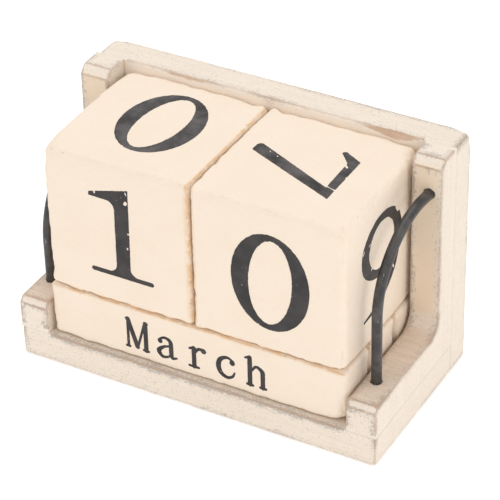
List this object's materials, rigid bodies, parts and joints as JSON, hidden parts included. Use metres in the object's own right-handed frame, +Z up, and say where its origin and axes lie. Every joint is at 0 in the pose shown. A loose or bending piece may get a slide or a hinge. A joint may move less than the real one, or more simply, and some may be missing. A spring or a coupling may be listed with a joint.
{
  "type": "block desk calendar",
  "caption": "Wooden perpetual desk calendar: open frame with bent rod handles, lift-out date cubes and slide-out month bars.",
  "frame": {"origin": "on the table, in the middle of the frame's footprint", "axes": "+X along the calendar's length, +Y from the reading side to the back board, +Z up"},
  "size_m": [0.15, 0.076, 0.0998],
  "materials": {
    "frame_paint": "matte chalk paint on wood, edges rubbed through",
    "block_paint": "matte thick cream paint on wood, chipped edges",
    "dark_steel": "satin dark grey with scuffs",
    "brad_steel": "plain"
  },
  "bodies": {
    "frame": {"base_board": "frame_paint", "back_board": "frame_paint", "left_side_bracket": "frame_paint", "right_side_bracket": "frame_paint", "left_handle_rod": "dark_steel", "right_handle_rod": "dark_steel", "foot_brads": "brad_steel", "upright_brads": "brad_steel", "base_brads": "brad_steel"},
    "left_cube": {"left_date_cube": "block_paint"},
    "right_cube": {"right_date_cube": "block_paint"},
    "rear_bar": {"month_bar_rear": "block_paint"},
    "middle_bar": {"month_bar_middle": "block_paint"},
    "front_bar": {"month_bar_front": "block_paint"}
  },
  "joints": [
    {"name": "left_cube_lift", "type": "slide", "parent": "frame", "child": "left_cube", "axis": [0, 0, 1], "range_m": [0, 0.07]},
    {"name": "right_cube_lift", "type": "slide", "parent": "frame", "child": "right_cube", "axis": [0, 0, 1], "range_m": [0, 0.07]},
    {"name": "rear_bar_slide", "type": "slide", "parent": "frame", "child": "rear_bar", "axis": [0, -1, 0], "range_m": [0, 0.065]},
    {"name": "middle_bar_slide", "type": "slide", "parent": "rear_bar", "child": "middle_bar", "axis": [0, -1, 0], "range_m": [0, 0.045]},
    {"name": "front_bar_slide", "type": "slide", "parent": "middle_bar", "child": "front_bar", "axis": [0, -1, 0], "range_m": [0, 0.025]}
  ]
}
